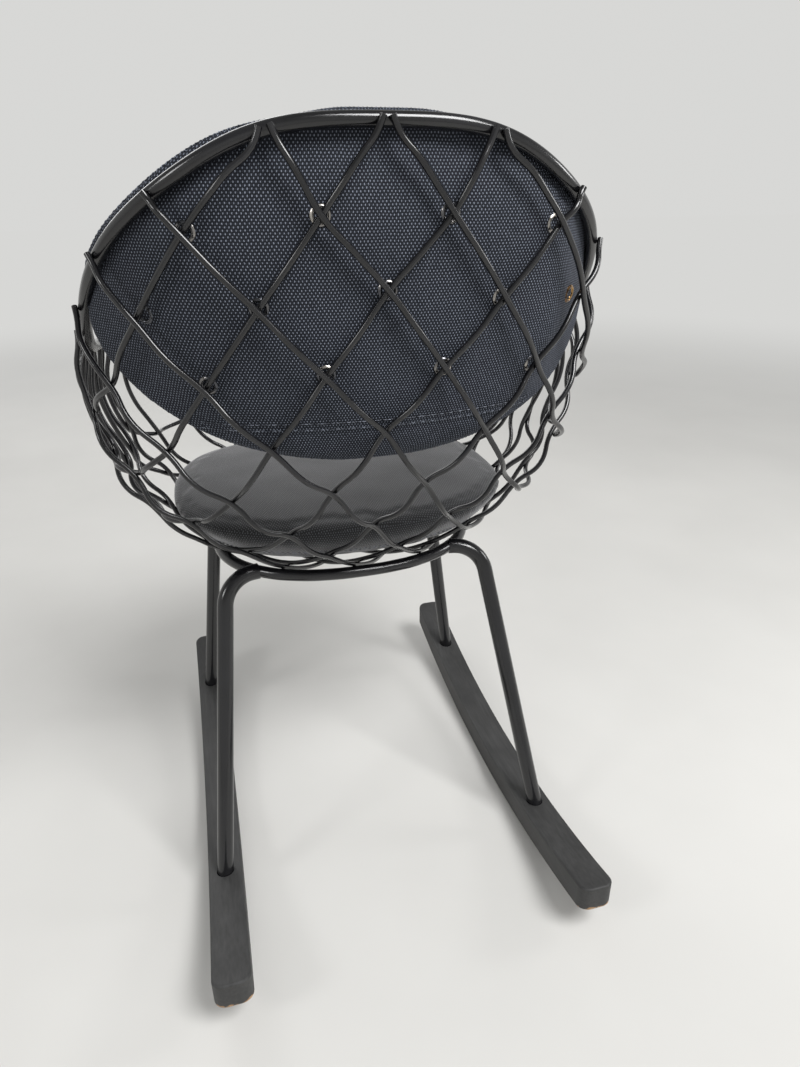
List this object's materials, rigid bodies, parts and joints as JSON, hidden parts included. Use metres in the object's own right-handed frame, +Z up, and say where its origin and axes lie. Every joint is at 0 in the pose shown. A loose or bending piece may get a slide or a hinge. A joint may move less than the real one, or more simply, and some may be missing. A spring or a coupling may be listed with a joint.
{
  "type": "rocking armchair",
  "caption": "Rocking armchair with a welded wire basket seat, bent tube legs on curved wooden rockers, a fixed back cushion and a loose seat cushion.",
  "frame": {"origin": "on the floor, below the lowest point of the rockers, on the plane of symmetry", "axes": "+Z up, the sitter faces -Y, +X to the sitter's left"},
  "size_m": [0.5618, 0.636, 0.8312],
  "materials": {
    "powder_coated_steel": "satin black powder coat",
    "painted_wood": "matte black paint",
    "plain_steel": "turned",
    "blackened_steel": "black oxide",
    "gunmetal": "gunmetal plating",
    "zip_tape": "woven tape",
    "back_canvas": "panama weave",
    "seat_canvas": "panama weave",
    "foam": "open-cell foam"
  },
  "bodies": {
    "frame": {"back_cushion_cover": "back_canvas", "back_cushion_eyelets": "gunmetal", "back_cushion_foam": "foam", "back_cushion_zip": "zip_tape", "base_ring": "powder_coated_steel", "inner_wire_01": "powder_coated_steel", "inner_wire_02": "powder_coated_steel", "inner_wire_03": "powder_coated_steel", "inner_wire_04": "powder_coated_steel", "inner_wire_05": "powder_coated_steel", "inner_wire_06": "powder_coated_steel", "inner_wire_07": "powder_coated_steel", "inner_wire_08": "powder_coated_steel", "inner_wire_09": "powder_coated_steel", "inner_wire_10": "powder_coated_steel", "inner_wire_11": "powder_coated_steel", "leg_front_left": "powder_coated_steel", "leg_front_right": "powder_coated_steel", "leg_plugs": "plain_steel", "leg_rear_left": "powder_coated_steel", "leg_rear_right": "powder_coated_steel", "leg_screws": "blackened_steel", "outer_wire_01": "powder_coated_steel", "outer_wire_02": "powder_coated_steel", "outer_wire_03": "powder_coated_steel", "outer_wire_04": "powder_coated_steel", "outer_wire_05": "powder_coated_steel", "outer_wire_06": "powder_coated_steel", "outer_wire_07": "powder_coated_steel", "outer_wire_08": "powder_coated_steel", "outer_wire_09": "powder_coated_steel", "outer_wire_10": "powder_coated_steel", "outer_wire_11": "powder_coated_steel", "rim_hoop": "powder_coated_steel", "rocker_left": "painted_wood", "rocker_right": "painted_wood"},
    "seat_cushion": {"seat_cushion_cover": "seat_canvas", "seat_cushion_foam": "foam"}
  },
  "joints": [
    {"name": "seat_cushion_lift", "type": "slide", "parent": "frame", "child": "seat_cushion", "axis": [0, 0, 1], "range_m": [0, 0.1]}
  ]
}
